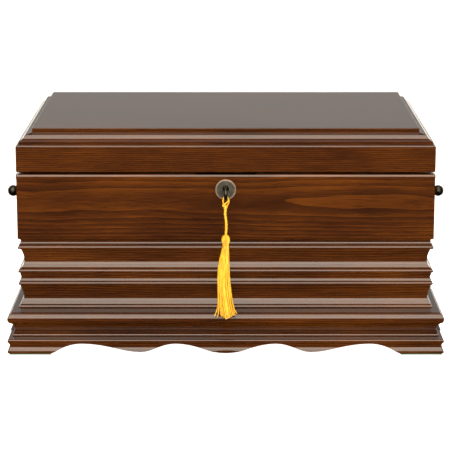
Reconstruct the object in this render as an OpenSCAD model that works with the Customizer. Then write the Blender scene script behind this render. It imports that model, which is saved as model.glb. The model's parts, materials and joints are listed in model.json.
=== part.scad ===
// Wooden keepsake chest: stacked mouldings round the waist, a plinth with bracket feet,
// a hinged lid with a moulded edge, drop handles on both ends, and a lock with key and tassel.
// +X is the chest's right hand end, +Y its back, +Z up; the feet stand at z = 0.

/* [Case] */
// Width of the case across its flat side boards
body_w = 420; // [380:5:460]
// Depth of the case across its flat front and back boards
body_d = 272; // [252:4:320]
// Thickness of the case boards and lid rails
wall = 14; // [14:0.5:16]
// How far the chest's centre lies behind the origin, which is under the middle of the
// whole outline with the key
centre_y = 8; // [7:0.5:9]

/* [Heights] */
// Height of the plinth's top face above the floor
plinth_top = 43.5; // [43.5:0.5:44]
// Height of the joint between the waist mouldings and the flat boards
waist_top = 112; // [112:0.5:114]
// Height of the flat boards' top edge
case_top = 185; // [184:0.5:186]
// Gap between the case and the closed lid
lid_gap = 2; // [1.5:0.1:2.2]
// Height of the lid rails
lid_rail_h = 24; // [22:1:28]
// Thickness of the lid's moulded top board
lid_top_t = 18.5; // [18.5:0.5:20]

/* [Floor] */
// Thickness of the floor board
floor_t = 8; // [6:1:9]
// Depth of the groove that holds the floor board
groove_d = 4; // [3:0.5:5]
// Thickness of the felt on the floor board
lining_t = 1.5; // [1:0.5:2]
// Thickness of the felt pads under the feet
pad_t = 2; // [1.5:0.5:2]

/* [Feet] */
// Length of each bracket foot along the plinth
foot_len = 45; // [40:1:50]
// Height of the apron's arches
arch_z = 11.6; // [10:0.2:12]
// Height of the low points between the outer and inner arches
dip_z = 3.5; // [2.5:0.5:5]

/* [Hinges] */
// Distance of each hinge from the chest's centre line
hinge_x = 125; // [90:5:150]
// Length of a hinge leaf
leaf_len = 50; // [40:5:60]
// Thickness of a hinge leaf
leaf_t = 1.5; // [1.2:0.1:1.5]
// Radius of the hinge knuckles
knuckle_r = 2.9; // [2.6:0.1:3]
// Radius of the hinge pins
pin_r = 1.2; // [1:0.1:1.3]

/* [Lock] */
// Height of the key's axis
key_z = 169.5; // [169:0.5:171]
// Height of the escutcheon's centre
escutcheon_z = 169.5; // [169:0.5:170]
// Radius of the escutcheon
escutcheon_r = 10.5; // [10:0.5:12]
// Radius of the circle that the cam's finger runs on
finger_r = 6; // [5.8:0.1:6.2]

/* [Key and tassel] */
// Radius of the key's shank
shank_r = 2.1; // [1.8:0.1:2.2]
// Distance from the case's face to the centre of the key's bow
bow_out = 21; // [20:0.5:22]
// Radius of the bow's ring, to the middle of its bar
bow_ring_r = 5.3; // [4.8:0.1:5.6]
// Radius of the bow's bar
bow_bar_r = 1.8; // [1.5:0.1:1.8]
// Thickness of the tassel's twisted cord
cord_d = 2.8; // [2.6:0.1:3]
// Height of the skirt's lower end
skirt_bottom = 42; // [40:1:46]

/* [Handles] */
// Height of the bails' pivots
bail_z = 148.5; // [146:0.5:152]
// Distance of each handle post from the middle of the end board
post_y = 38; // [36:1:42]
// Distance of the bail's pivot from the end board
pivot_out = 8.2; // [8:0.1:8.6]
// Radius of the ball on each post
ball_r = 5.8; // [5.6:0.1:6]

/* [Hidden] */
$fn = 64;

WOOD = [0.36, 0.19, 0.10];
PALE_WOOD = [0.62, 0.47, 0.32];
FELT = [0.12, 0.10, 0.10];
BRASS = [0.66, 0.53, 0.28];
STEEL = [0.62, 0.62, 0.60];
PEWTER = [0.36, 0.37, 0.34];
YELLOW = [1.0, 0.80, 0.24];

half_w = body_w / 2;
half_d = body_d / 2;
lid_bottom = case_top + lid_gap;
lid_joint = lid_bottom + lid_rail_h;
lid_height = lid_joint + lid_top_t;
proud = 12;                       // the plinth's nose stands this far out at most
hair = 0.1;                       // clearance round parts that are let into the wood
groove_z = plinth_top + 1.5;
floor_top = groove_z + floor_t;

// the hinge's axis lies behind the case's back face, in the middle of the lid gap
axis_y = half_d + knuckle_r + 0.5;
axis_z = case_top + lid_gap / 2;
leaf_w = 12;                      // width of a leaf inside the wood
screw_r = 1.2;
head_r = 2.4;
screw_len = 12;

// the lock is let into the front board from behind; depths are distances in front of centre
case_half_x = 26;
plate_half_x = 30;
sheet = 1.2;                      // thickness of the lock's plates
case_front = half_d - 5;          // outer face of the lock case's front plate
case_back = half_d - wall;        // inner face of the chest and of the lock's back plate
case_bottom = key_z - 11.5;
cam_front = case_front - sheet - 0.2;
cam_back = cam_front - 2.9;
bolt_travel = finger_r * sqrt(2);
bolt_rest_x = -bolt_travel / 2;
bolt_front = cam_back + 0.9;
bolt_back = case_back + sheet + 0.8;
bar_bottom = key_z + 8.1;
bar_top = case_top - leaf_t - 0.8;
staple_x = 10.4;
staple_t = 2.5;
tongue_t = 2.4;
keyhole_r = 3.5;
keyhole_rise = 1.2;               // the middle of its round part lies this far above the key's axis
slot_w = 3;

tassel_y = -half_d - bow_out;
bow_bottom_z = key_z - bow_ring_r;
loop_r = 2.9;
loop_strand_r = 0.8;
knot_z = 157;
head_top = 127.5;
head_r_tassel = 4.05;

// the tassel's cord, from the knot down through the head and into the skirt
CORD_ROUTE = [[0, 0, 156], [-0.5, 0, 150], [0, 0, 145], [0.5, 0, 140], [0.6, 0, 134],
              [0.2, 0, 129], [0, 0, 124], [0, 0, 116], [0, 0, 108], [0, 0, 100], [0, 0, 92]];

// half of a bail, from the middle of the grip up to its end: distance out from the pivot,
// along the chest's side, and up
BAIL_ROUTE = [[-1.4, 0, -30.5], [-1.4, 12, -30], [-1.1, 18.5, -28.5], [-0.6, 24, -25],
              [0.7, 27.4, -19.5], [2.1, 28.5, -12.5], [2, 28.7, -6], [0, 28.7, 0]];
bail_bar_r = 2.2;

// ---------- helpers ----------

// everything is drawn round the chest's own centre and set back behind the origin
module place() {
    translate([0, centre_y, 0]) children();
}

// what is cut away to round an outer corner at (p, z); up is 1 for a top corner
module corner_cut(p, z, r, up) {
    difference() {
        translate([p - r, up > 0 ? z - r : z - 1]) square([r + 1, r + 1]);
        translate([p - r, z - up * r]) circle(r);
    }
}

// what is cut away for a cove with its deepest point at (depth, z): a curve of radius r_up
// above that point, and one of radius r_low below it that ends on the line p = edge
module cove_cut(depth, z, r_up, r_low, edge) {
    intersection() {
        translate([depth + r_up, z]) circle(r_up);
        translate([depth - 1, z]) square([r_up + 1, r_up]);
    }
    intersection() {
        translate([depth + r_low, z]) circle(r_low);
        translate([depth - 1, z - r_low]) square([edge - depth + 1, r_low]);
    }
}

// a rail along X with mitred ends, from a profile of (distance out from the face, height);
// its face plane lies at -face and is 2 * half_len long
module mitred_rail(face, half_len) {
    inner = 30;
    intersection() {
        translate([-half_len - proud, -face, 0]) rotate([90, 0, 90])
            linear_extrude(2 * (half_len + proud)) mirror([1, 0]) children();
        linear_extrude(lid_height + 1) polygon([
            [-half_len - proud, -face - proud], [half_len + proud, -face - proud],
            [half_len - inner, -face + inner], [-half_len + inner, -face + inner]]);
    }
}

module front_rail() { mitred_rail(half_d, half_w) children(); }
module right_rail() { rotate(90) mitred_rail(half_w, half_d) children(); }
module to_back() { mirror([0, 1, 0]) children(); }
module to_left() { mirror([1, 0, 0]) children(); }
module both_sides() { children(); to_left() children(); }

// a cylinder along Y whose front end is at y
module rod_y(y, r, len) {
    translate([0, y, 0]) rotate([-90, 0, 0]) cylinder(r = r, h = len);
}

// a countersunk screw with its head's face at the origin, pointing down
module screw(r, head, len) {
    translate([0, 0, -len]) cylinder(r = r, h = len);
    translate([0, 0, r - head]) cylinder(r1 = r, r2 = head, h = head - r);
}

// the screw holes of a hinge leaf, and the places of its screws
module at_leaf_screws(x) {
    for (i = [-1:1]) translate([x + i * leaf_len * 0.36, half_d - leaf_w / 2, 0]) children();
}

// ---------- profiles: distance out from the case's face, and height ----------

module board_profile() {
    cove_r = 3.2;
    cove_top = waist_top + 6.5;
    fillet_top = waist_top + 2.6;
    difference() {
        translate([-wall, waist_top]) square([wall, case_top - waist_top]);
        translate([0, cove_top - cove_r]) circle(cove_r);
        translate([-cove_r, fillet_top]) square([cove_r + 1, cove_top - cove_r - fillet_top]);
        translate([-2, waist_top - 1]) square([3, fillet_top - waist_top + 1.001]);
        corner_cut(0, case_top, 2.6, 1);
    }
}

// four beads with a long, a short and a long cove between them
module waist_profile() {
    face = 0.3;
    ledge = -1.6;
    beads = [[waist_top - 2.5, 1.8], [plinth_top + 41.5, 1.9], [plinth_top + 28.6, 1.7],
             [plinth_top + 4.2, 1.8]];
    coves = [[-5.7, plinth_top + 51.5, 26, 9], [-2.7, plinth_top + 34, 6.7, 4],
             [-4.7, plinth_top + 13.5, 26, 8.4]];
    difference() {
        translate([-wall, plinth_top]) square([wall + ledge, waist_top - plinth_top]);
        for (c = coves) cove_cut(c[0], c[1], c[2], c[3], ledge + 1);
    }
    for (b = beads) translate([face - b[1], b[0]]) circle(b[1]);
}

// the height at which the lower curve of a cove with its deepest point at (depth, z) ends
function cove_end(depth, z, r_low, edge) =
    z - sqrt(r_low * r_low - pow(depth + r_low - edge, 2));

module plinth_profile() {
    bead_p = 11.7;
    bead_z = 16.3;
    lip_p = 7;
    lip_r = 2;
    lip_z = 19.4;
    lip_back = 5.4;
    nose_r = 6;
    nose_p = 11.4 - nose_r;
    hollow_p = 4.2;
    hollow_z = plinth_top - 18.2;
    hollow_r = 2.4;
    hollow_end = cove_end(hollow_p, hollow_z, hollow_r, lip_back);
    difference() {
        union() {
            translate([-12, pad_t]) square([12 + lip_back, hollow_end - pad_t]);
            translate([lip_p - lip_r, lip_z]) circle(lip_r);
            translate([-12, hollow_z]) square([12 + nose_p, plinth_top - hollow_z]);
            translate([-12, hollow_end]) square([20.8, plinth_top - nose_r - hollow_end]);
            translate([nose_p, plinth_top - nose_r]) circle(nose_r);
            translate([0, pad_t]) square([bead_p, bead_z - pad_t]);
        }
        cove_cut(hollow_p, hollow_z, 8.5, hollow_r, lip_back);
        translate([lip_back, hollow_end - 1]) square([6, hollow_z - hollow_end + 1]);
        corner_cut(bead_p, bead_z, 1.4, 1);
        translate([bead_p + 3.4, 8.9]) circle(5.7);
    }
}

module lid_rail_profile() {
    difference() {
        translate([-wall, lid_bottom]) square([wall, lid_rail_h]);
        corner_cut(0, lid_bottom, 1.5, -1);
    }
}

// the centre of an arc of radius r from a to b, on the left of a-b when side is 1 and on its
// right when side is -1
function arc_centre(a, b, r, side) =
    (a + b) / 2 + side * sqrt(r * r / pow(norm(b - a), 2) - 0.25) * [a[1] - b[1], b[0] - a[0]];

// section through the lid's top board, whose width at the arris is 2 * half: an arris, a
// cove, a shelf and the raised panel
module lid_top_section(half) {
    step = half - 2.7;
    cove_foot = [step, lid_joint + 6.6];
    cove_top = [half - 8.8, lid_joint + 12.4];
    cove_r = 11.3;
    panel = half - 15.5;
    module right_half() {
        difference() {
            translate([-1, lid_joint]) square([half + 1, 2.9]);
            corner_cut(half, lid_joint + 2.9, 1.2, 1);
        }
        difference() {
            translate([-1, lid_joint]) square([step + 1, cove_top[1] - lid_joint]);
            translate(arc_centre(cove_foot, cove_top, cove_r, -1)) circle(cove_r);
        }
        polygon([[-1, lid_joint + 3], [cove_top[0], lid_joint + 3], cove_top,
                 [panel, lid_joint + 14], [-1, lid_joint + 14]]);
        difference() {
            translate([-1, lid_joint]) square([panel + 1, lid_top_t]);
            corner_cut(panel, lid_height, 0.6, 1);
        }
    }
    right_half();
    mirror([1, 0]) right_half();
}

// ---------- the apron's waves ----------

// height of the apron's edge at distance x from its middle, which dips to the pads' tops at
// the middle, rises to an inner arch, dips again, and rises to an outer arch by the foot
function wave(a, b, x0, x1, x) = a + (b - a) * (1 - cos(180 * (x - x0) / (x1 - x0))) / 2;
function foot_curve(x0, x1, x) = pad_t + (arch_z - pad_t) * sin(90 * (x1 - x) / (x1 - x0));

module front_apron_cut() {
    foot_x = half_w + 11.5 - foot_len;
    inner_x = foot_x * 0.29;
    dip_x = foot_x * 0.488;
    outer_x = foot_x * 0.83;
    steps = 8;
    edge = concat(
        [for (i = [0:steps]) let (x = inner_x * i / steps)
            [x, wave(pad_t + 0.1, arch_z, 0, inner_x, x)]],
        [for (i = [1:steps]) let (x = inner_x + (dip_x - inner_x) * i / steps)
            [x, wave(arch_z, dip_z, inner_x, dip_x, x)]],
        [for (i = [1:steps]) let (x = dip_x + (outer_x - dip_x) * i / steps)
            [x, wave(dip_z, arch_z, dip_x, outer_x, x)]],
        [for (i = [1:steps]) let (x = outer_x + (foot_x - outer_x) * i / steps)
            [x, foot_curve(outer_x, foot_x, x)]]);
    apron_cut(edge, foot_x);
}

module side_apron_cut() {
    foot_x = half_d + 11.5 - foot_len;
    arch_x = foot_x * 0.66;
    steps = 10;
    edge = concat(
        [for (i = [0:steps]) let (x = arch_x * i / steps)
            [x, wave(dip_z, arch_z, 0, arch_x, x)]],
        [for (i = [1:steps]) let (x = arch_x + (foot_x - arch_x) * i / steps)
            [x, foot_curve(arch_x, foot_x, x)]]);
    apron_cut(edge, foot_x);
}

// the space under an edge given for x from 0 to the foot, and its mirror image
module apron_cut(edge, foot_x) {
    depth = 60;
    far_side = [for (i = [len(edge) - 1:-1:1]) [-edge[i][0], edge[i][1]]];
    rotate([90, 0, 0]) translate([0, 0, -depth]) linear_extrude(2 * depth)
        polygon(concat([[-foot_x, -1]], far_side, edge, [[foot_x, -1]]));
}

// ---------- the case ----------

module lock_pocket() {
    // room for the lock's case, its back plate and its top plate
    translate([-case_half_x - hair, -case_front - hair, case_bottom - hair])
        cube([2 * (case_half_x + hair), case_front - case_back + 1, case_top]);
    translate([-plate_half_x - hair, -case_back - sheet - hair, case_bottom - 2 - hair])
        cube([2 * (plate_half_x + hair), sheet + hair + 1, case_top]);
    translate([-plate_half_x - hair, -half_d + 1 - hair, case_top - leaf_t - hair])
        cube([2 * (plate_half_x + hair), wall, leaf_t + 1]);
}

// the keyhole's shape: a round hole over a slot
module keyhole_prism(front, len, r, w, drop, rise = 0) {
    translate([0, 0, key_z + rise]) rod_y(-front, r, len);
    translate([-w / 2, -front, key_z - drop]) cube([w, len, drop + rise]);
}

module leaf_mortises(x, z, up) {
    // a shallow pocket for a hinge leaf, opening upwards when up is 1
    translate([x - leaf_len / 2 - hair, half_d - leaf_w - hair, up > 0 ? z - leaf_t - hair : z - 1])
        cube([leaf_len + 2 * hair, leaf_w + 1, leaf_t + 1 + hair]);
}

module front_board() place() color(WOOD) difference() {
    front_rail() board_profile();
    lock_pocket();
    keyhole_prism(half_d + 1, wall, keyhole_r + 0.9, slot_w + 1.4, 8.4, keyhole_rise);
    for (s = [-1, 1]) translate([s * 7.5, 0, escutcheon_z]) rod_y(-half_d - 1, 0.85, 5);
    at_lock_screws() rod_y(-case_back - 8.5, 1.05, 9);
}

module back_board() place() color(WOOD) difference() {
    to_back() front_rail() board_profile();
    both_sides() leaf_mortises(hinge_x, case_top, 1);
    both_sides() at_leaf_screws(hinge_x) translate([0, 0, case_top - screw_len - 0.2])
        cylinder(r = screw_r + 0.05, h = screw_len + 1);
}

module side_board() difference() {
    right_rail() board_profile();
    for (s = [-1, 1]) translate([half_w - wall - 1, s * post_y, bail_z]) rotate([0, 90, 0])
        cylinder(r = 2.1, h = wall + 2);
}

module left_board() place() color(WOOD) to_left() side_board();
module right_board() place() color(WOOD) side_board();

module floor_groove() {
    translate([-half_w + wall - groove_d - 0.3, -half_d + wall - groove_d - 0.3, groove_z - 0.1])
        cube([2 * (half_w - wall + groove_d + 0.3), 2 * (half_d - wall + groove_d + 0.3),
              floor_t + 0.2]);
}

module waist_front() place() color(WOOD) difference() {
    front_rail() waist_profile();
    floor_groove();
}

module waist_back() place() color(WOOD) difference() {
    to_back() front_rail() waist_profile();
    floor_groove();
}

module waist_left() place() color(WOOD) difference() {
    to_left() right_rail() waist_profile();
    floor_groove();
}

module waist_right() place() color(WOOD) difference() {
    right_rail() waist_profile();
    floor_groove();
}

module plinth_front() place() color(WOOD) difference() {
    front_rail() plinth_profile();
    translate([0, -half_d, 0]) front_apron_cut();
}

module plinth_back() place() color(WOOD) to_back() difference() {
    front_rail() plinth_profile();
    translate([0, -half_d, 0]) front_apron_cut();
}

module plinth_side() difference() {
    right_rail() plinth_profile();
    translate([half_w, 0, 0]) rotate(90) side_apron_cut();
}

module plinth_left() place() color(WOOD) to_left() plinth_side();
module plinth_right() place() color(WOOD) plinth_side();

module bottom_board() place() color(PALE_WOOD)
    translate([-half_w + wall - groove_d, -half_d + wall - groove_d, groove_z])
        cube([body_w - 2 * (wall - groove_d), body_d - 2 * (wall - groove_d), floor_t]);

module floor_lining() place() color(FELT)
    translate([-half_w + wall + 0.5, -half_d + wall + 0.5, floor_top])
        cube([body_w - 2 * wall - 1, body_d - 2 * wall - 1, lining_t]);

// triangular blocks glued into the plinth's corners
module corner_blocks() place() color(PALE_WOOD) {
    side = 30;
    for (sx = [-1, 1]) for (sy = [-1, 1]) scale([sx, sy, 1])
        translate([half_w - 12, half_d - 12, pad_t]) linear_extrude(groove_z - pad_t - 2)
            polygon([[0, 0], [-side, 0], [0, -side]]);
}

// an L of felt under each bracket foot, a little smaller than the foot
module foot_pads() place() color(FELT) {
    inset = 1.3;
    reach = foot_len - 2 * inset;
    width = 20;
    for (sx = [-1, 1]) for (sy = [-1, 1]) scale([sx, sy, 1])
        translate([half_w + 11.5 - inset, half_d + 11.5 - inset, 0]) linear_extrude(pad_t)
            polygon([[0, 0], [-reach, 0], [-reach, -width], [-width, -width],
                     [-width, -reach], [0, -reach]]);
}

// ---------- the lid ----------

module lid_top() place() color(WOOD) intersection() {
    translate([-half_w - 1, 0, 0]) rotate([90, 0, 90]) linear_extrude(body_w + 2)
        lid_top_section(half_d);
    translate([0, half_d + 1, 0]) rotate([90, 0, 0]) linear_extrude(body_d + 2)
        lid_top_section(half_w);
}

module lid_front_rail() place() color(WOOD) difference() {
    front_rail() lid_rail_profile();
    translate([-plate_half_x - hair, -half_d + 2 - hair, lid_bottom - 1])
        cube([2 * (plate_half_x + hair), 10 + 2 * hair, leaf_t + 1 + hair]);
    at_strike_screws() cylinder(r = screw_r + 0.05, h = screw_len + 0.2);
}

module lid_back_rail() place() color(WOOD) difference() {
    to_back() front_rail() lid_rail_profile();
    both_sides() leaf_mortises(hinge_x, lid_bottom, -1);
    both_sides() at_leaf_screws(hinge_x) translate([0, 0, lid_bottom - 1])
        cylinder(r = screw_r + 0.05, h = screw_len + 1.2);
}

module lid_left_rail() place() color(WOOD) to_left() right_rail() lid_rail_profile();
module lid_right_rail() place() color(WOOD) right_rail() lid_rail_profile();

// ---------- the hinges ----------

KNUCKLES = 5;
knuckle_len = leaf_len / KNUCKLES;

// one leaf with its knuckles, whose plate lies from z to z + leaf_t; first is 0 for the leaf
// that has the end knuckles
module hinge_leaf(x, z, first) {
    back_edge = axis_y - knuckle_r - 0.65;
    difference() {
        union() {
            translate([x - leaf_len / 2, half_d - leaf_w, z])
                cube([leaf_len, back_edge - half_d + leaf_w, leaf_t]);
            for (i = [first:2:KNUCKLES - 1])
                translate([x - leaf_len / 2 + i * knuckle_len + 0.15, 0, 0]) {
                    translate([0, back_edge - 1, z])
                        cube([knuckle_len - 0.3, axis_y - back_edge + 1, leaf_t]);
                    translate([0, axis_y, axis_z]) rotate([0, 90, 0])
                        cylinder(r = knuckle_r, h = knuckle_len - 0.3);
                }
        }
        translate([x - leaf_len / 2 - 1, axis_y, axis_z]) rotate([0, 90, 0])
            cylinder(r = pin_r + 0.05, h = leaf_len + 2);
        at_leaf_screws(x) {
            translate([0, 0, z - 1]) cylinder(r = screw_r + 0.1, h = leaf_t + 2);
            if (first == 0)
                translate([0, 0, z + leaf_t]) screw_sink(1);
            else
                translate([0, 0, z]) screw_sink(-1);
        }
    }
}

// a countersink that opens upwards when up is 1
module screw_sink(up) {
    depth = head_r - screw_r + 0.1;
    if (up > 0)
        translate([0, 0, -depth]) cylinder(r1 = screw_r + 0.1, r2 = head_r + 0.1, h = depth + 0.01);
    else
        translate([0, 0, -0.01]) cylinder(r1 = head_r + 0.1, r2 = screw_r + 0.1, h = depth);
}

module hinge_left_body_leaf() place() color(BRASS) to_left() hinge_leaf(hinge_x, case_top - leaf_t, 0);
module hinge_right_body_leaf() place() color(BRASS) hinge_leaf(hinge_x, case_top - leaf_t, 0);
module hinge_left_lid_leaf() place() color(BRASS) to_left() hinge_leaf(hinge_x, lid_bottom, 1);
module hinge_right_lid_leaf() place() color(BRASS) hinge_leaf(hinge_x, lid_bottom, 1);

module hinge_pins() place() color(STEEL) both_sides()
    translate([hinge_x - leaf_len / 2, axis_y, axis_z]) rotate([0, 90, 0])
        cylinder(r = pin_r, h = leaf_len);

module hinge_body_screws() place() color(BRASS) both_sides() at_leaf_screws(hinge_x)
    translate([0, 0, case_top]) screw(screw_r, head_r, screw_len);

module hinge_lid_screws() place() color(BRASS) both_sides() at_leaf_screws(hinge_x)
    translate([0, 0, lid_bottom]) mirror([0, 0, 1]) screw(screw_r, head_r, screw_len);

// ---------- the lock ----------

module at_lock_screws() {
    for (s = [-1, 1]) for (z = [case_bottom + 1.5, case_top - 5])
        translate([s * (plate_half_x - 2), 0, z]) children();
}

module at_strike_screws() {
    for (s = [-1, 1]) translate([s * (plate_half_x - 6), -half_d + 7, lid_bottom]) children();
}

module lock_case() place() color(BRASS) difference() {
    union() {
        translate([-case_half_x, -case_front, case_bottom])
            cube([2 * case_half_x, case_front - case_back, case_top - case_bottom]);
        translate([-plate_half_x, -case_back - sheet, case_bottom - 2])
            cube([2 * plate_half_x, sheet, case_top - case_bottom + 2]);
        translate([-plate_half_x, -half_d + 1, case_top - leaf_t])
            cube([2 * plate_half_x, wall - 1, leaf_t]);
    }
    // the room for the cam and the bolt
    translate([-case_half_x + sheet, -case_front + sheet, case_bottom + sheet])
        cube([2 * (case_half_x - sheet), case_front - case_back - 2 * sheet,
              case_top - leaf_t - case_bottom - sheet]);
    keyhole_prism(case_front + 1, sheet + 2, shank_r + 0.5, 2.8, 7.4);
    // bearing for the cam's back journal
    translate([0, 0, key_z]) rod_y(-case_back - sheet - 1, 2.96, sheet + 2);
    // slot for the staple
    translate([staple_x - 0.4, -case_front + sheet + 0.1, case_top - leaf_t - 1])
        cube([staple_t + 0.8, 6.4, leaf_t + 2]);
    at_lock_screws() {
        rod_y(-case_back - sheet - 1, 1.1, sheet + 2);
        translate([0, -case_back + 0.01, 0]) rotate([90, 0, 0]) cylinder(r1 = 2.1, r2 = 1.1, h = 1);
    }
}

module lock_screws() place() color(BRASS) at_lock_screws()
    translate([0, -case_back, 0]) rotate([-90, 0, 0]) screw(1, 1.9, 8);

// the round cam that the key turns, at rest with its finger to the left
module lock_cam() place() color(STEEL) difference() {
    union() {
        translate([0, 0, key_z]) rod_y(-cam_front, 7.6, cam_front - cam_back);
        translate([0, 0, key_z]) rod_y(-cam_back - 0.5, 2.9, cam_back - case_back + 0.2);
        translate([-finger_r / sqrt(2), 0, key_z + finger_r / sqrt(2)])
            rod_y(-cam_back - 0.5, 1.1, 3);
    }
    keyhole_prism(cam_front + 1, 3.6, shank_r + 0.1, 2.2, 6.5);
}

// the bolt, at rest drawn back to the left
module lock_bolt() place() color(STEEL) translate([bolt_rest_x, 0, 0]) difference() {
    union() {
        translate([-17, -bolt_front, bar_bottom])
            cube([23, bolt_front - bolt_back, bar_top - bar_bottom]);
        translate([5, -bolt_front, bar_bottom]) cube([8, tongue_t, bar_top - bar_bottom]);
        translate([-5, -cam_back + 0.4, key_z + 3.4])
            cube([10, cam_back - 0.4 - bolt_back, bar_bottom - key_z - 3]);
    }
    translate([-1.55, -bolt_front - 1, key_z]) cube([3.1, 6, 7.6]);
}

module lock_strike() place() color(BRASS) difference() {
    union() {
        translate([-plate_half_x, -half_d + 2, lid_bottom]) cube([2 * plate_half_x, 10, leaf_t]);
        translate([staple_x, -bolt_front - 1.6, bar_bottom - 2])
            cube([staple_t, 5.4, lid_bottom - bar_bottom + 3]);
    }
    translate([staple_x - 1, -bolt_front - 0.4, bar_bottom - 0.5])
        cube([staple_t + 2, tongue_t + 0.8, bar_top - bar_bottom + 1]);
    at_strike_screws() {
        translate([0, 0, -1]) cylinder(r = screw_r + 0.1, h = leaf_t + 2);
        screw_sink(-1);
    }
}

module strike_screws() place() color(BRASS) at_strike_screws()
    mirror([0, 0, 1]) screw(screw_r, head_r, screw_len);

// a round plate with a raised rim, held by two prongs
module escutcheon() place() color(PEWTER) difference() {
    union() {
        translate([0, -half_d, escutcheon_z]) rotate([90, 0, 0]) rotate_extrude() difference() {
            translate([0, 0]) square([escutcheon_r, 2.2]);
            translate([0, 1.5]) square([escutcheon_r - 1.4, 1]);
            corner_cut(escutcheon_r, 2.2, 0.7, 1);
        }
        for (s = [-1, 1]) translate([s * 7.5, 0, escutcheon_z]) rod_y(-half_d - 0.5, 0.8, 4);
    }
    keyhole_prism(half_d + 4, 6, keyhole_r, slot_w, 7.6, keyhole_rise);
}

// ---------- the key and its tassel ----------

module key() place() color(PEWTER) translate([0, 0, key_z]) {
    tip = cam_back + 0.3;
    bow_front = half_d + bow_out - bow_ring_r;
    rod_y(-bow_front, shank_r, bow_front - tip);
    translate([-0.9, -cam_front, -6.1]) cube([1.8, 2.3, 6]);
    translate([0, tassel_y, 0]) rotate([0, 90, 0]) rotate_extrude()
        translate([bow_ring_r, 0]) circle(bow_bar_r);
}

module at_tassel() place() translate([0, tassel_y, 0]) children();

// the hitch: a loop of cord round the bow's bar, whose two sides run down into a knot
module tassel_loop() at_tassel() color(YELLOW) {
    translate([0, 0, bow_bottom_z]) rotate([90, 0, 0]) rotate_extrude()
        translate([loop_r, 0]) circle(loop_strand_r);
    translate([0, 0, knot_z]) sphere(2.1);
    translate([0, 0, knot_z]) cylinder(r = 1.5, h = bow_bottom_z - loop_r - knot_z);
}

// rings of points round each point of a route, joined into a closed tube; the route never
// runs along the direction ref
module swept_tube(route, r, sides, ref) {
    count = len(route);
    function along(i) = route[min(i + 1, count - 1)] - route[max(i - 1, 0)];
    function side_a(t) = cross(t, ref) / norm(cross(t, ref));
    function side_b(t) = cross(t, side_a(t)) / norm(t);
    points = [for (i = [0:count - 1]) for (k = [0:sides - 1])
        route[i] + r * cos(360 * k / sides) * side_a(along(i))
                 + r * sin(360 * k / sides) * side_b(along(i))];
    walls = [for (i = [0:count - 2]) for (k = [0:sides - 1])
        [i * sides + k, (i + 1) * sides + k,
         (i + 1) * sides + (k + 1) % sides, i * sides + (k + 1) % sides]];
    ends = [[for (k = [0:sides - 1]) k], [for (k = [sides - 1:-1:0]) (count - 1) * sides + k]];
    polyhedron(points, concat(walls, ends));
}

module tassel_cord() at_tassel() color(YELLOW) swept_tube(CORD_ROUTE, cord_d / 2, 8, [0, 1, 0]);

module tassel_head() at_tassel() color(YELLOW) {
    low = head_top - 2 * head_r_tassel - 1.4;
    translate([0, 0, head_top - head_r_tassel]) sphere(head_r_tassel);
    translate([0, 0, low + head_r_tassel]) sphere(head_r_tassel);
    translate([0, 0, low + head_r_tassel]) cylinder(r = head_r_tassel, h = 1.4);
}

module tassel_skirt() at_tassel() color(YELLOW)
    translate([0, 0, skirt_bottom]) cylinder(r1 = 7.2, r2 = 3, h = 118 - skirt_bottom);

// ---------- the handles ----------

// a post with its rosette and ball outside the board and its stud through it
module handle_post() difference() {
    union() {
        cylinder(r = 8, h = 1.2);
        translate([0, 0, 1.2]) cylinder(r1 = 7.2, r2 = 4.5, h = 1.6);
        cylinder(r = 3.5, h = 12);
        translate([0, 0, 20 - ball_r]) sphere(ball_r);
        translate([0, 0, -wall - 5.2]) cylinder(r = 2, h = wall + 6);
    }
    translate([0, 0, pivot_out]) rotate([90, 0, 0]) cylinder(r = 1.6, h = 20, center = true);
}

module handle_nut() difference() {
    union() {
        cylinder(r = 4.5, h = 0.8);
        translate([0, 0, 0.8]) cylinder(r = 3.9, h = 3, $fn = 6);
    }
    translate([0, 0, -1]) cylinder(r = 2.04, h = 6);
}

module right_posts() {
    for (s = [-1, 1]) translate([half_w, s * post_y, bail_z]) rotate([0, 90, 0]) handle_post();
}

module right_nuts() {
    for (s = [-1, 1]) translate([half_w - wall, s * post_y, bail_z]) rotate([0, -90, 0])
        handle_nut();
}

// the bail's bar, with a rounded end and a pin that turns in the post on each side
module right_bail_shape() translate([half_w + pivot_out, 0, bail_z]) {
    route = [for (i = [-len(BAIL_ROUTE) + 1:len(BAIL_ROUTE) - 1])
        [BAIL_ROUTE[abs(i)][0], sign(i) * BAIL_ROUTE[abs(i)][1], BAIL_ROUTE[abs(i)][2]]];
    end_y = BAIL_ROUTE[len(BAIL_ROUTE) - 1][1];
    pin_len = post_y + 2.5 - end_y;
    swept_tube(route, bail_bar_r, 12, [1, 0, 0]);
    for (s = [-1, 1]) {
        translate([0, s * end_y, 0]) sphere(bail_bar_r + 0.4);
        translate([0, s * (end_y + pin_len / 2), 0]) rotate([90, 0, 0])
            cylinder(r = 1.5, h = pin_len, center = true);
    }
}

module left_handle_posts() place() color(PEWTER) to_left() right_posts();
module right_handle_posts() place() color(PEWTER) right_posts();
module left_handle_nuts() place() color(STEEL) to_left() right_nuts();
module right_handle_nuts() place() color(STEEL) right_nuts();
module left_bail() place() color(PEWTER) to_left() right_bail_shape();
module right_bail() place() color(PEWTER) right_bail_shape();

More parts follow.
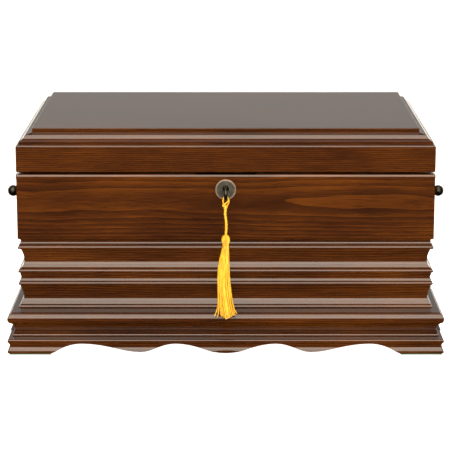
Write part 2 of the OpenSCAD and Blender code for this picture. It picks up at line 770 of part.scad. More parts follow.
front_board();
back_board();
left_board();
right_board();
waist_front();
waist_back();
waist_left();
waist_right();
plinth_front();
plinth_back();
plinth_left();
plinth_right();
bottom_board();
floor_lining();
corner_blocks();
foot_pads();
lid_top();
lid_front_rail();
lid_back_rail();
lid_left_rail();
lid_right_rail();
hinge_left_body_leaf();
hinge_right_body_leaf();
hinge_left_lid_leaf();
hinge_right_lid_leaf();
hinge_pins();
hinge_body_screws();
hinge_lid_screws();
lock_case();
lock_screws();
lock_cam();
lock_bolt();
lock_strike();
strike_screws();
escutcheon();
key();
tassel_loop();
tassel_cord();
tassel_head();
tassel_skirt();
left_handle_posts();
right_handle_posts();
left_handle_nuts();
right_handle_nuts();
left_bail();
right_bail();
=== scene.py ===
# Wooden keepsake chest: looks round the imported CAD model. Metres, in the model's own frame:
# +X is the chest's right hand end, +Y its back, +Z up.
import json
import math
import random

import bpy
from mathutils import Matrix, Vector


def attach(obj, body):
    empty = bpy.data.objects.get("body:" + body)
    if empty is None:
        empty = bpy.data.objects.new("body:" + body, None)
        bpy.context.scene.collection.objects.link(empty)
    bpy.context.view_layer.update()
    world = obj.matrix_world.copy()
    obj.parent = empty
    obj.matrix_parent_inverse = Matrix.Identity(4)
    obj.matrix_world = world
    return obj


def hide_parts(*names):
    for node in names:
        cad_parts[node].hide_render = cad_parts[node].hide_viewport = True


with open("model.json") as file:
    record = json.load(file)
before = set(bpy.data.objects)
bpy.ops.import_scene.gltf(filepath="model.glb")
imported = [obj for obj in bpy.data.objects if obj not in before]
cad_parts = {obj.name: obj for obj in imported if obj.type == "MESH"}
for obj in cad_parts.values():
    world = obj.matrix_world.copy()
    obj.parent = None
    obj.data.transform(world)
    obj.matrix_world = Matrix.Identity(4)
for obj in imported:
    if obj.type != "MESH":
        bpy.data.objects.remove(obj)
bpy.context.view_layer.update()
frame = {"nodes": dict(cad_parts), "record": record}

MM = 0.001
NODES = frame["nodes"]

# ---------- camera ----------

CAMERA_AT = (-0.0007, -1.996, 0.5506)
CAMERA_PITCH = 12.6                  # degrees below level
SENSOR_WIDTH = 36
LENS = 152
camera_data = bpy.data.cameras.new("camera")
camera_data.sensor_width = SENSOR_WIDTH
camera_data.lens = LENS
camera_data.clip_start = 0.05
camera = bpy.data.objects.new("camera", camera_data)
camera.location = CAMERA_AT
camera.rotation_euler = (math.radians(90 - CAMERA_PITCH), 0, 0)
bpy.context.scene.collection.objects.link(camera)
bpy.context.scene.camera = camera


# ---------- mesh helpers ----------

def make_object(name, verts, faces):
    mesh = bpy.data.meshes.new(name)
    mesh.from_pydata([tuple(v) for v in verts], [], faces)
    mesh.validate()
    mesh.update()
    mesh.polygons.foreach_set("use_smooth", [True] * len(mesh.polygons))
    obj = bpy.data.objects.new(name, mesh)
    bpy.context.scene.collection.objects.link(obj)
    return obj


class Soup:
    """Vertices and faces of several closed shapes that make up one mesh."""

    def __init__(self):
        self.verts = []
        self.faces = []

    def tube(self, path, radius, sides=8, lobes=0, lobe_depth=0.0, twist=0.0, round_ends=True):
        """A closed tube along path. radius is a number or a function of the share of the way;
        lobes and twist (turns over the whole path) make a rope's ridges."""
        path = [Vector(p) for p in path]
        count = len(path)
        rings = []
        normal = None
        for i, point in enumerate(path):
            along = (path[min(i + 1, count - 1)] - path[max(i - 1, 0)]).normalized()
            if normal is None:
                helper = Vector((0, 1, 0)) if abs(along.y) < 0.9 else Vector((1, 0, 0))
                normal = along.cross(helper).normalized()
            else:
                normal = (normal - along * normal.dot(along)).normalized()
            binormal = along.cross(normal)
            share = i / (count - 1)
            r = radius(share) if callable(radius) else radius
            rings.append((point, normal.copy(), binormal, r, share, along))
        if round_ends:
            first, last = rings[0], rings[-1]
            caps = []
            for k in (0.35, 0.75):
                s = math.sin(k * math.pi / 2)
                c = 1 - math.cos(k * math.pi / 2)
                caps.append((s, c))
            front = [(first[0] + first[5] * (first[3] * (c - 1) * 0.6), first[1], first[2],
                      first[3] * s, 0.0, first[5]) for s, c in caps]
            back = [(last[0] + last[5] * (last[3] * (1 - c) * 0.6), last[1], last[2],
                     last[3] * s, 1.0, last[5]) for s, c in reversed(caps)]
            rings = front + rings + back
        base = len(self.verts)
        for point, normal, binormal, r, share, along in rings:
            for k in range(sides):
                angle = 2 * math.pi * k / sides
                lobe = 1 + lobe_depth * math.cos(lobes * angle + 2 * math.pi * twist * share)
                self.verts.append(point + (normal * math.cos(angle) + binormal * math.sin(angle))
                                  * r * lobe)
        for i in range(len(rings) - 1):
            a, b = base + i * sides, base + (i + 1) * sides
            for k in range(sides):
                n = (k + 1) % sides
                self.faces.append((a + k, a + n, b + n, b + k))
        self.faces.append(tuple(base + k for k in reversed(range(sides))))
        last = base + (len(rings) - 1) * sides
        self.faces.append(tuple(last + k for k in range(sides)))

    def lathe(self, profile, centre, sides=48, ridge=None):
        """A closed turned shape about a vertical axis; profile is (r, z) from top to bottom,
        and ridge(angle, share) changes the radius."""
        base = len(self.verts)
        cx, cy = centre
        count = len(profile)
        for i, (r, z) in enumerate(profile):
            for k in range(sides):
                angle = 2 * math.pi * k / sides
                grow = ridge(angle, i / (count - 1)) if ridge else 1
                self.verts.append(Vector((cx + r * grow * math.cos(angle),
                                          cy + r * grow * math.sin(angle), z)))
        for i in range(count - 1):
            a, b = base + i * sides, base + (i + 1) * sides
            for k in range(sides):
                n = (k + 1) % sides
                self.faces.append((b + k, b + n, a + n, a + k))
        self.faces.append(tuple(base + k for k in range(sides)))
        last = base + (count - 1) * sides
        self.faces.append(tuple(last + k for k in reversed(range(sides))))

    def build(self, name):
        return make_object(name, self.verts, self.faces)


def smooth_path(points, per_span):
    """Points on a Catmull-Rom curve through the given ones."""
    points = [Vector(p) for p in points]
    ends = [points[0] * 2 - points[1]] + points + [points[-1] * 2 - points[-2]]
    out = []
    for i in range(1, len(ends) - 2):
        a, b, c, d = ends[i - 1:i + 3]
        for k in range(per_span):
            t = k / per_span
            out.append(0.5 * (2 * b + (c - a) * t + (2 * a - 5 * b + 4 * c - d) * t * t
                              + (3 * b - a - 3 * c + d) * t * t * t))
    out.append(points[-1])
    return out


def path_length(points):
    return sum((Vector(b) - Vector(a)).length for a, b in zip(points, points[1:]))


# ---------- the tassel, whose cord comes before everything else ----------

TASSEL_Y = -0.149
KNOT_Z = 157 * MM
BOW_BAR_Z = 164.2                    # height in mm of the middle of the bow's lowest part
CORD_D = 2.8 * MM
CORD_POINTS = [(0, 156), (-0.5, 150), (0, 145), (0.5, 140), (0.6, 134), (0.2, 129),
               (0, 124), (0, 116), (0, 108), (0, 100), (0, 92)]
CORD_PATH = smooth_path([(x * MM, TASSEL_Y, z * MM) for x, z in CORD_POINTS], 4)


def twisted_cord():
    """Two plies wound round each other along the cord's path."""
    soup = Soup()
    fine = smooth_path(CORD_PATH, 4)
    total = path_length(fine)
    pitch = 7.2 * MM
    ply_r = CORD_D * 0.27
    offset = CORD_D / 2 - ply_r
    for ply in (0, math.pi):
        points = []
        gone = 0.0
        for i, p in enumerate(fine):
            if i:
                gone += (p - fine[i - 1]).length
            angle = 2 * math.pi * gone / pitch + ply
            points.append(p + Vector((math.cos(angle), math.sin(angle), 0)) * offset)
        soup.tube(points, ply_r, sides=12, lobes=4, lobe_depth=0.10, twist=total / (3.0 * MM))
    return soup.build("tassel_twisted_cord")


def hitch_loop():
    """The doubled cord round the key's bow, drawn through itself and knotted."""
    soup = Soup()
    strand_r = 0.72 * MM
    top = BOW_BAR_Z + 1.8
    for depth, spread in ((-0.8, 1.0), (0.8, 0.94)):
        points = [(-0.3, KNOT_Z / MM), (-1.6, 158.6), (-2.6 * spread, 161.0),
                  (-2.6 * spread, 163.6), (-2.2, top - 1.2), (-1.2, top + 0.6), (0, top + 1.0),
                  (1.3, top + 0.6), (2.4, top - 1.2), (3.0 * spread, 163.6),
                  (3.1 * spread, 161.0), (2.1, 158.8), (0.5, KNOT_Z / MM)]
        path = smooth_path([(x * MM, TASSEL_Y + depth * MM, z * MM) for x, z in points], 6)
        soup.tube(path, strand_r, sides=10, lobes=3, lobe_depth=0.12, twist=14)
    wrap = [(-2.9, -1.4, 158.2), (-1.8, -2.1, 158.9), (-0.2, -2.5, 160.1), (1.3, -2.4, 161.6),
            (2.8, -1.5, 162.8), (3.4, 0, 162.6), (2.4, 1.7, 161.2), (0, 2.2, 159.6),
            (-2.0, 1.6, 158.5), (-2.6, 0.2, 157.8), (-1.8, -1.5, 157.2), (0.2, -2.1, 157.2),
            (1.8, -1.0, 157.6)]
    path = smooth_path([(x * MM, TASSEL_Y + y * MM, z * MM) for x, y, z in wrap], 6)
    soup.tube(path, strand_r, sides=10, lobes=3, lobe_depth=0.12, twist=12)
    for turn in range(2):
        z = 156.6 - 1.3 * turn
        ring = [(1.35 * math.cos(a), 1.35 * math.sin(a), z + 0.45 * math.sin(a + turn))
                for a in [2 * math.pi * k / 14 for k in range(15)]]
        soup.tube([(x * MM, TASSEL_Y + y * MM, q * MM) for x, y, q in ring], strand_r * 0.95,
                  sides=10, lobes=3, lobe_depth=0.12, twist=6)
    soup.tube([((-2.5 + 0.5 * k) * MM, TASSEL_Y - (1.5 - 0.1 * k) * MM, (157.2 + 0.1 * k) * MM)
               for k in range(4)], 1.1 * MM, sides=10, lobes=3, lobe_depth=0.1, twist=1)
    return soup.build("tassel_hitch")


def tassel_head():
    """Threads folded down over a ball, with a tight wrapping below it."""
    soup = Soup()
    profile = [(0.9, 127.7), (1.9, 127.3), (3.0, 126.4), (3.75, 125.0), (4.05, 123.3),
               (4.05, 121.6), (3.8, 120.1), (3.35, 119.0), (2.95, 118.3), (2.7, 117.6)]
    rows = smooth_path([(r * MM, 0, z * MM) for r, z in profile], 4)
    threads = 26

    def ridge(angle, share):
        return 1 + 0.035 * abs(math.sin(threads / 2 * angle + 1.1 * share)) ** 0.7

    soup.lathe([(p.x, p.z) for p in rows], (0, TASSEL_Y), sides=threads * 6, ridge=ridge)
    for turn in range(5):
        z = 118.7 - 0.62 * turn
        r = 2.95 + 0.12 * math.sin(1.3 * turn)
        ring = [(r * math.cos(a), r * math.sin(a), z - 0.3 * a / math.pi)
                for a in [2 * math.pi * k / 26 for k in range(27)]]
        soup.tube([(x * MM, TASSEL_Y + y * MM, q * MM) for x, y, q in ring], 0.42 * MM,
                  sides=8, lobes=3, lobe_depth=0.12, twist=9)
    return soup.build("tassel_wrapped_head")


# the skirt's outline: height, how far its middle lies to the right, and its radius
SKIRT = [(117.8, 0.0, 2.6), (113, -0.2, 3.3), (106, -0.9, 4.3), (99, -1.6, 5.2),
         (92, -2.0, 5.8), (81, -1.9, 6.5), (70, -1.3, 6.9), (60, -0.2, 7.1), (51, 1.2, 7.2),
         (42, 2.8, 7.3)]


def skirt_at(z):
    """The skirt's offset and radius at a height."""
    for (z0, x0, r0), (z1, x1, r1) in zip(SKIRT, SKIRT[1:]):
        if z >= z1:
            t = min(1.0, max(0.0, (z0 - z) / (z0 - z1)))
            t = t * t * (3 - 2 * t) * 0.4 + t * 0.6
            return x0 + (x1 - x0) * t, r0 + (r1 - r0) * t
    return SKIRT[-1][1:]


SKIRT_TOP = 117.9
CUT_Z = 43.5                         # where the threads are cut, before they vary
# the fringe's layers: share of the outline's radius, number of threads, their radius
LAYERS = ((0.91, 46, 0.62), (0.76, 34, 0.60), (0.55, 18, 0.58))


def tassel_skirt():
    """The fringe: bundles of loose threads, cut a little unevenly, over a core."""
    draw = random.Random(7)
    soup = Soup()
    core = []
    sides = 96
    heights = list(range(117, 47, -2))
    for z in heights:
        x, r = skirt_at(z)
        for k in range(sides):
            angle = 2 * math.pi * k / sides
            grow = 0.74 * (1 + 0.05 * math.sin(17 * angle) + 0.04 * math.sin(29 * angle + z / 9))
            core.append(((x + r * grow * math.cos(angle)) * MM,
                         TASSEL_Y + r * grow * math.sin(angle) * MM, z * MM))
    soup.verts += [Vector(p) for p in core]
    for i in range(len(heights) - 1):
        for k in range(sides):
            n = (k + 1) % sides
            soup.faces.append(((i + 1) * sides + k, (i + 1) * sides + n, i * sides + n,
                               i * sides + k))
    soup.faces.append(tuple(range(sides)))
    soup.faces.append(tuple((len(heights) - 1) * sides + k for k in reversed(range(sides))))
    for layer, count, thick in LAYERS:
        for i in range(count):
            angle = 2 * math.pi * (i + 0.7 * draw.random()) / count
            drift = draw.uniform(-0.22, 0.22)
            end_z = CUT_Z + draw.uniform(-1.0, 3.6) + 2.6 * max(0, math.cos(angle))
            if layer < 0.6:
                end_z -= 1.0
            phase = draw.uniform(0, 6.28)
            size = draw.uniform(0.1, 0.42)
            radius = thick * draw.uniform(0.85, 1.15) * MM
            splay = draw.uniform(0.94, 1.07)
            points = []
            steps = 18
            for k in range(steps + 1):
                t = k / steps
                z = SKIRT_TOP + (end_z - SKIRT_TOP) * t
                x, r = skirt_at(z)
                a = angle + drift * t + 0.05 * math.sin(5 * t + phase)
                r = r * layer * (1 + (splay - 1) * t) + size * t * math.sin(8 * t + phase)
                points.append(((x + r * math.cos(a)) * MM, TASSEL_Y + r * math.sin(a) * MM,
                               z * MM))
            soup.tube(points, radius, sides=7, lobes=2, lobe_depth=0.16, twist=24,
                      round_ends=False)
    strays = [((-4.6, -2.4, 98), (-7.6, -3.0, 78), (-7.6, -3.2, 62), (-8.6, -3.0, 52),
               (-11.2, -2.6, 44.5)),
              ((-4.0, -3.4, 96), (-7.0, -4.2, 76), (-7.0, -4.4, 60), (-7.4, -4.2, 50),
               (-7.9, -4.0, 43.6)),
              ((3.0, -3.0, 90), (4.8, -4.0, 70), (7.4, -3.6, 56), (9.6, -3.0, 50),
               (11.2, -2.4, 47.2))]
    for points in strays:
        path = smooth_path([(x * MM, TASSEL_Y + y * MM, z * MM) for x, y, z in points], 5)
        soup.tube(path, 0.5 * MM, sides=7, lobes=2, lobe_depth=0.16, twist=16, round_ends=False)
    return soup.build("tassel_fringe")


cord = twisted_cord()
hitch = hitch_loop()
head = tassel_head()
fringe = tassel_skirt()
TASSEL_PIECES = {cord: "tassel_cord", hitch: "tassel_loop", head: "tassel_head",
                 fringe: "tassel_skirt"}
for piece, node in TASSEL_PIECES.items():
    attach(piece, "tassel")
    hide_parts(node)


# ---------- the bails ----------

BAIL_HALF = [(-1.4, 0, -30.5), (-1.4, 7, -30.3), (-1.4, 12.5, -29.9), (-1.1, 18.5, -28.3),
             (-0.6, 23.6, -24.8), (0.7, 27.2, -19.2), (1.9, 28.6, -12.5), (2.0, 28.7, -6.5),
             (0.9, 28.7, -2.2), (0, 28.7, 0)]
PIVOT = (218.2, 8.0, 148.5)
EYE_Y = 28.7                         # each eye of the bail lies this far from its middle


def bail(name, side):
    """A bow of round bar that thickens towards the grip, with a pin at each end."""
    soup = Soup()
    half = BAIL_HALF[1:]
    whole = [(x, -y, z) for x, y, z in reversed(half)] + BAIL_HALF[:1] + half

    def at(x, y, z):
        return (side * (PIVOT[0] + x) * MM, (PIVOT[1] + y) * MM, (PIVOT[2] + z) * MM)

    def radius(share):
        grip = math.exp(-((share - 0.5) / 0.22) ** 2)
        return (1.85 + 0.45 * grip) * MM

    soup.tube(smooth_path([at(*p) for p in whole], 8), radius, sides=20)
    for s in (-1, 1):
        soup.tube([at(0, s * (EYE_Y + k * 0.8), 0) for k in range(16)], 1.5 * MM, sides=16,
                  round_ends=False)
        collar = [(-2.4, 1.2), (-1.7, 2.1), (-0.6, 2.65), (0.6, 2.65), (1.7, 2.1), (2.4, 1.2)]
        soup.tube([at(0, s * (EYE_Y + d), 0) for d, r in collar],
                  lambda t, c=collar: c[round(t * (len(c) - 1))][1] * MM, sides=20,
                  round_ends=False)
    piece = soup.build(name)
    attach(piece, name.replace("_bow", ""))
    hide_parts(name.replace("_bow", ""))
    return piece


bails = [bail("left_bail_bow", -1), bail("right_bail_bow", 1)]


# ---------- materials ----------

class Graph:
    """A material's node tree, built a node at a time."""

    def __init__(self, name):
        self.material = bpy.data.materials.new(name)
        self.material.use_nodes = True
        self.tree = self.material.node_tree
        self.tree.nodes.clear()
        out = self.tree.nodes.new("ShaderNodeOutputMaterial")
        self.shader = self.tree.nodes.new("ShaderNodeBsdfPrincipled")
        self.tree.links.new(self.shader.outputs[0], out.inputs["Surface"])

    def add(self, kind, inputs=None, **settings):
        node = self.tree.nodes.new("ShaderNode" + kind)
        for key, value in settings.items():
            setattr(node, key, value)
        for key, value in (inputs or {}).items():
            self.put(node.inputs[key], value)
        return node

    def put(self, socket, value):
        if isinstance(value, bpy.types.NodeSocket):
            self.tree.links.new(value, socket)
        else:
            socket.default_value = value

    def maths(self, operation, a, b=0.0, c=0.0):
        node = self.add("Math", operation=operation)
        for socket, value in zip(node.inputs, (a, b, c)):
            self.put(socket, value)
        return node.outputs[0]

    def noise(self, vector, scale, detail=3.0, rough=0.55, distortion=0.0):
        node = self.add("TexNoise", {"Vector": vector, "Scale": scale, "Detail": detail,
                                     "Roughness": rough, "Distortion": distortion})
        return node.outputs["Fac"]

    def ramp(self, fac, stops):
        node = self.add("ValToRGB", {"Fac": fac})
        elements = node.color_ramp.elements
        while len(elements) < len(stops):
            elements.new(0.5)
        for element, (at, colour) in zip(elements, stops):
            element.position = at
            element.color = (*colour, 1) if hasattr(colour, "__len__") else (colour,) * 3 + (1,)
        return node.outputs["Color"]

    def scaled(self, vector, scale, at=(0, 0, 0), turn=(0, 0, 0)):
        node = self.add("Mapping", {"Vector": vector, "Scale": scale, "Location": at,
                                    "Rotation": turn})
        return node.outputs[0]

    def span(self, value, low, high, to_low, to_high):
        node = self.add("MapRange", {"Value": value, "From Min": low, "From Max": high,
                                     "To Min": to_low, "To Max": to_high})
        return node.outputs[0]

    def mix(self, fac, a, b):
        node = self.add("Mix", data_type="RGBA", blend_type="MIX")
        self.put(node.inputs["Factor"], fac)
        self.put(node.inputs["A"], a)
        self.put(node.inputs["B"], b)
        return node.outputs["Result"]

    def bump(self, height, strength, distance, normal=None):
        node = self.add("Bump", {"Height": height, "Strength": strength, "Distance": distance})
        if normal is not None:
            self.put(node.inputs["Normal"], normal)
        return node.outputs[0]

    def surface(self, **values):
        for key, value in values.items():
            self.put(self.shader.inputs[key.replace("_", " ")], value)


def rgb(r, g, b):
    """An sRGB colour of 0 to 255 as linear RGBA."""
    return tuple((c / 255) ** 2.2 for c in (r, g, b)) + (1,)


WOOD_TONES = (rgb(28, 13, 1), rgb(52, 27, 3), rgb(78, 43, 10))
PORE_TONE = rgb(20, 8, 1)


def lacquered_wood(name, turn, at):
    """Stained straight-grained wood under semi-gloss lacquer; the grain runs along X, or
    along Y where turn is a quarter."""
    g = Graph(name)
    place = g.add("TexCoord").outputs["Object"]
    spot = g.scaled(place, (1, 1, 1), at=at, turn=(0, 0, turn))
    # growth rings about an axis that runs nearly along the board
    wander = g.add("TexNoise", {"Vector": g.scaled(spot, (2.4, 7, 7)), "Scale": 1.0,
                                "Detail": 3.0})
    shifted = g.add("VectorMath", operation="MULTIPLY_ADD")
    g.put(shifted.inputs[0], wander.outputs["Color"])
    shifted.inputs[1].default_value = (0.0, 0.012, 0.012)
    g.put(shifted.inputs[2], g.scaled(spot, (0.05, 1, 1), turn=(0, 0.03, 0.05)))
    rings = g.add("TexWave", {"Vector": shifted.outputs[0], "Scale": 150.0, "Distortion": 1.0,
                              "Detail": 2.0, "Detail Scale": 1.2},
                  wave_type="RINGS", rings_direction="X", wave_profile="SAW").outputs["Fac"]
    fibre = g.noise(g.scaled(spot, (36, 1000, 1000)), 1.0, detail=4.0, rough=0.65)
    streak = g.noise(g.scaled(spot, (10, 160, 160)), 1.0, detail=3.0)
    pores = g.noise(g.scaled(spot, (70, 2400, 2400)), 1.0, detail=2.0)
    cloud = g.noise(g.scaled(spot, (6, 14, 14)), 1.0, detail=3.0)
    tone = g.maths("ADD", g.maths("MULTIPLY", rings, 0.14), g.maths("MULTIPLY", fibre, 0.36))
    tone = g.maths("ADD", tone, g.maths("MULTIPLY", streak, 0.14))
    tone = g.maths("ADD", tone, g.maths("MULTIPLY", cloud, 0.36))
    colour = g.ramp(tone, [(at_tone, c[:3]) for at_tone, c in zip((0.34, 0.50, 0.68), WOOD_TONES)])
    pore_mask = g.span(pores, 0.58, 0.74, 0.0, 0.6)
    colour = g.mix(pore_mask, colour, PORE_TONE)
    shine = g.span(g.noise(g.scaled(spot, (30, 60, 60)), 1.0), 0.3, 0.7, 0.42, 0.54)
    grain_bump = g.bump(g.maths("ADD", fibre, g.maths("MULTIPLY", pores, 0.8)), 0.10, 0.00025)
    skin = g.noise(g.scaled(spot, (90, 90, 90)), 1.0, detail=1.0)
    normal = g.bump(skin, 0.04, 0.0012, grain_bump)
    g.surface(Base_Color=colour, Roughness=shine, Normal=normal)
    g.shader.inputs["Specular IOR Level"].default_value = 0.02
    g.shader.inputs["Coat Weight"].default_value = 1.0
    g.shader.inputs["Coat Roughness"].default_value = 0.065
    return g.material


def raw_wood():
    """Unfinished pale timber, for what is hidden below."""
    g = Graph("raw_wood")
    place = g.add("TexCoord").outputs["Object"]
    fibre = g.noise(g.scaled(place, (10, 420, 420)), 1.0, detail=4.0)
    cloud = g.noise(g.scaled(place, (5, 30, 30)), 1.0)
    tone = g.maths("ADD", g.maths("MULTIPLY", fibre, 0.6), g.maths("MULTIPLY", cloud, 0.4))
    colour = g.ramp(tone, [(0.3, rgb(140, 104, 68)[:3]), (0.7, rgb(196, 160, 118)[:3])])
    g.surface(Base_Color=colour, Roughness=g.span(fibre, 0.3, 0.7, 0.55, 0.75),
              Normal=g.bump(fibre, 0.2, 0.0004))
    return g.material


def felt():
    """Dark green felt with a short fuzz."""
    g = Graph("felt")
    place = g.add("TexCoord").outputs["Object"]
    fuzz = g.noise(place, 1500.0, detail=5.0, rough=0.7, distortion=0.6)
    cloud = g.noise(place, 60.0, detail=2.0)
    tone = g.maths("ADD", g.maths("MULTIPLY", fuzz, 0.7), g.maths("MULTIPLY", cloud, 0.3))
    colour = g.ramp(tone, [(0.3, rgb(24, 40, 30)[:3]), (0.7, rgb(52, 76, 58)[:3])])
    g.surface(Base_Color=colour, Roughness=g.span(fuzz, 0.3, 0.7, 0.85, 1.0),
              Normal=g.bump(fuzz, 0.5, 0.0006))
    g.shader.inputs["Sheen Weight"].default_value = 0.35
    g.shader.inputs["Sheen Roughness"].default_value = 0.5
    return g.material


def metal(name, dark, light, rough_low, rough_high, brushed=(1, 1, 1)):
    """Plain metal with faint patches and scratches; brushed stretches the scratches."""
    g = Graph(name)
    place = g.add("TexCoord").outputs["Object"]
    patch = g.noise(place, 220.0, detail=4.0, rough=0.65)
    scratch = g.noise(g.scaled(place, tuple(900 * b for b in brushed)), 1.0, detail=3.0)
    tone = g.maths("ADD", g.maths("MULTIPLY", patch, 0.7), g.maths("MULTIPLY", scratch, 0.3))
    colour = g.ramp(tone, [(0.34, dark[:3]), (0.68, light[:3])])
    g.surface(Base_Color=colour, Metallic=1.0,
              Roughness=g.span(patch, 0.3, 0.7, rough_low, rough_high),
              Normal=g.bump(scratch, 0.12, 0.0002))
    return g.material


ESCUTCHEON_Z = 0.1695
RIM_R = 0.0094                       # the escutcheon's raised rim starts this far from its middle
WORN_PEWTER = rgb(178, 150, 126)


def pewter(name, tones, shine, metallic, rim=False):
    """Antique metal, rubbed bright on its raised edges."""
    g = Graph(name)
    place = g.add("TexCoord").outputs["Object"]
    patch = g.noise(place, 260.0, detail=5.0, rough=0.65)
    fine = g.noise(place, 1400.0, detail=2.0)
    colour = g.ramp(patch, [(at, tone[:3]) for at, tone in zip((0.32, 0.52, 0.72), tones)])
    bevel = g.add("Bevel", samples=6)
    bevel.inputs["Radius"].default_value = 0.0005
    facing = g.add("VectorMath", operation="DOT_PRODUCT")
    g.put(facing.inputs[0], bevel.outputs[0])
    g.put(facing.inputs[1], g.add("NewGeometry").outputs["Normal"])
    edge = g.span(facing.outputs["Value"], 0.80, 0.985, 1.0, 0.0)
    worn = g.maths("MULTIPLY", edge, g.span(patch, 0.35, 0.6, 0.35, 1.0))
    if rim:
        apart = g.add("VectorMath", operation="DISTANCE")
        flat = g.add("VectorMath", operation="MULTIPLY")
        g.put(flat.inputs[0], place)
        flat.inputs[1].default_value = (1, 0, 1)
        g.put(apart.inputs[0], flat.outputs[0])
        apart.inputs[1].default_value = (0, 0, ESCUTCHEON_Z)
        ring = g.span(apart.outputs["Value"], RIM_R - 0.0002, RIM_R + 0.0002, 0.0, 0.45)
        rim_wear = g.maths("MULTIPLY", ring, g.span(patch, 0.3, 0.6, 0.6, 1.0))
        worn = g.maths("MAXIMUM", worn, rim_wear)
    colour = g.mix(worn, colour, WORN_PEWTER)
    g.surface(Base_Color=colour, Roughness=g.span(worn, 0.0, 1.0, *shine),
              Normal=g.bump(g.maths("ADD", patch, g.maths("MULTIPLY", fine, 0.4)), 0.18, 0.0003))
    g.shader.inputs["Metallic"].default_value = metallic
    return g.material


def thread():
    """Glossy golden yellow rayon."""
    g = Graph("tassel_thread")
    place = g.add("TexCoord").outputs["Object"]
    strand = g.noise(g.scaled(place, (1500, 1500, 160)), 1.0, detail=3.0)
    cloud = g.noise(g.scaled(place, (620, 620, 30)), 1.0, detail=2.0)
    tone = g.maths("ADD", g.maths("MULTIPLY", strand, 0.5), g.maths("MULTIPLY", cloud, 0.5))
    colour = g.ramp(tone, [(0.34, rgb(132, 84, 4)[:3]), (0.5, rgb(186, 138, 22)[:3]),
                           (0.66, rgb(206, 168, 54)[:3])])
    g.surface(Base_Color=colour, Roughness=g.span(strand, 0.3, 0.7, 0.42, 0.62),
              Normal=g.bump(strand, 0.25, 0.0002))
    g.shader.inputs["Specular IOR Level"].default_value = 0.3
    g.shader.inputs["Sheen Weight"].default_value = 0.05
    g.shader.inputs["Sheen Roughness"].default_value = 0.4
    return g.material


# every board gets its own stretch of timber; True where its grain runs along Y
WOOD_PIECES = {
    "front_board": (False, (0.13, 0.071, -0.165)), "back_board": (False, (0.91, 0.32, 0.05)),
    "left_board": (True, (0.37, 0.11, 0.03)), "right_board": (True, (1.31, 0.17, 0.02)),
    "waist_front": (False, (0.55, 0.20, 0.07)), "waist_back": (False, (1.75, 0.05, 0.11)),
    "waist_left": (True, (2.05, 0.13, 0.09)), "waist_right": (True, (2.45, 0.07, 0.19)),
    "plinth_front": (False, (2.95, 0.14, 0.08)), "plinth_back": (False, (3.35, 0.19, 0.03)),
    "plinth_left": (True, (3.75, 0.02, 0.12)), "plinth_right": (True, (4.15, 0.16, 0.17)),
    "lid_top": (False, (4.55, 0.03, -0.10)), "lid_front_rail": (False, (4.95, 0.12, 0.01)),
    "lid_back_rail": (False, (5.35, 0.15, 0.06)), "lid_left_rail": (True, (5.75, 0.09, 0.02)),
    "lid_right_rail": (True, (6.15, 0.04, 0.13))}
DARK_PEWTER = (rgb(37, 35, 30), rgb(56, 54, 47), rgb(77, 74, 65))
PLATE_PEWTER = (rgb(46, 46, 41), rgb(62, 60, 53), rgb(80, 77, 68))
OTHER = {"raw_wood": raw_wood(), "felt": felt(), "tassel_thread": thread(),
         "pewter": pewter("pewter", DARK_PEWTER, (0.42, 0.25), 1.0),
         "brass": metal("brass", rgb(112, 80, 34), rgb(160, 124, 62), 0.30, 0.45),
         # brass darkened almost to black: painted shade, so the lock seen through the keyhole
         # reads dark
         "keyhole_shade_brass": metal("keyhole_shade_brass", rgb(26, 19, 11), rgb(46, 35, 20), 0.4, 0.55),
         "steel": metal("steel", rgb(140, 140, 138), rgb(196, 196, 192), 0.24, 0.38,
                        brushed=(0.1, 1, 1))}


def give(obj, material):
    obj.data.materials.clear()
    obj.data.materials.append(material)


slot_of = {s["node"]: s["material_slot"] for s in frame["record"]["subparts"]}
for node_name, node_object in NODES.items():
    if node_name in WOOD_PIECES:
        across, at = WOOD_PIECES[node_name]
        turn = math.pi / 2 if across else 0.0
        give(node_object, lacquered_wood("wood_" + node_name, turn, at))
    else:
        give(node_object, OTHER[slot_of[node_name]])
# the lock's parts get the darkened brass, which paints the shade inside the keyhole
for node_name in ("lock_case", "lock_strike"):
    give(NODES[node_name], OTHER["keyhole_shade_brass"])
give(NODES["escutcheon"], pewter("pewter_plate", PLATE_PEWTER, (0.52, 0.35), 0.6, rim=True))
for piece in TASSEL_PIECES:
    give(piece, OTHER["tassel_thread"])
for piece in bails:
    give(piece, OTHER["pewter"])


# ---------- the studio ----------

def plain(name, colour, rough, glow):
    """The studio's paper, which glows by itself so that it comes out pale."""
    g = Graph(name)
    g.surface(Base_Color=colour, Roughness=rough)
    g.shader.inputs["Emission Color"].default_value = colour
    g.shader.inputs["Emission Strength"].default_value = glow
    return g.material


def floor_part(name, rows):
    """A strip of the pale floor, from rows of (y, z)."""
    half = 9.0
    verts = [(s * half, y, z) for y, z in rows for s in (-1, 1)]
    faces = [(2 * i, 2 * i + 1, 2 * i + 3, 2 * i + 2) for i in range(len(rows) - 1)]
    return make_object(name, verts, faces)


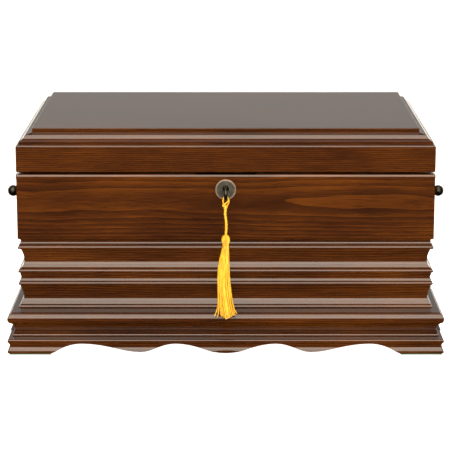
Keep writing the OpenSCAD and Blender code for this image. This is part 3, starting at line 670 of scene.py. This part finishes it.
def sweep():
    """A pale floor that curves up into a backdrop far behind the chest, in three parts: only
    the middle one, behind the chest, is mirrored in the lacquer."""
    radius = 1.2
    back = 3.2
    bend = back - radius
    mirrored_from = 0.35
    curve = []
    steps = 16
    for k in range(steps + 1):
        angle = math.pi / 2 * k / steps
        curve.append((bend + radius * math.sin(angle), radius - radius * math.cos(angle)))
    low = 7
    return (floor_part("studio_floor", [(-6.0, 0.0), (mirrored_from, 0.0)]),
            floor_part("studio_floor_behind", [(mirrored_from, 0.0)] + curve[:low + 1]),
            floor_part("studio_backdrop", curve[low:] + [(back, 5.0)]))


paper = plain("studio_paper", rgb(252, 252, 252), 0.9, glow=1.1)
paper_behind = plain("studio_paper_behind", rgb(252, 252, 252), 0.9, glow=0.1)
for part in sweep():
    give(part, paper if part.name == "studio_floor" else paper_behind)
    part.visible_glossy = part.name == "studio_floor_behind"


def softbox(name, at, aim, size, power, colour=(1, 1, 1)):
    """A soft rectangular light at one point, aimed at another."""
    data = bpy.data.lights.new(name, "AREA")
    data.shape = "RECTANGLE"
    data.size, data.size_y = size
    data.energy = power
    data.color = colour
    light = bpy.data.objects.new(name, data)
    light.location = at
    light.rotation_euler = (Vector(aim) - Vector(at)).to_track_quat("-Z", "Y").to_euler()
    bpy.context.scene.collection.objects.link(light)


WARM = (1.0, 0.90, 0.77)
SIDE_POWER = 6
softbox("front_wall", (0, -2.75, 1.25), (0, -0.13, 0.1), (3.6, 1.9), 146, WARM)
softbox("front_top", (0, -1.25, 2.3), (0, -0.4, 0.1), (3.6, 1.8), 120, WARM)
softbox("overhead_back", (0, 1.1, 2.2), (0, 0.6, 0.1), (3.8, 2.0), 14)
softbox("behind", (0, 2.8, 0.9), (0, 0, 0.2), (5.0, 0.9), 5.4, (1, 0.97, 0.91))
softbox("side_left", (-2.3, 0.9, 1.3), (0, 0.1, 0.15), (1.8, 1.6), SIDE_POWER)
softbox("side_right", (2.3, 0.9, 1.3), (0, 0.1, 0.15), (1.8, 1.6), SIDE_POWER)

world = bpy.data.worlds.new("studio")
bpy.context.scene.world = world
world.use_nodes = True
background = world.node_tree.nodes["Background"]
background.inputs["Color"].default_value = (1, 1, 1, 1)
background.inputs["Strength"].default_value = 0.045

bpy.context.scene.view_settings.view_transform = "Standard"
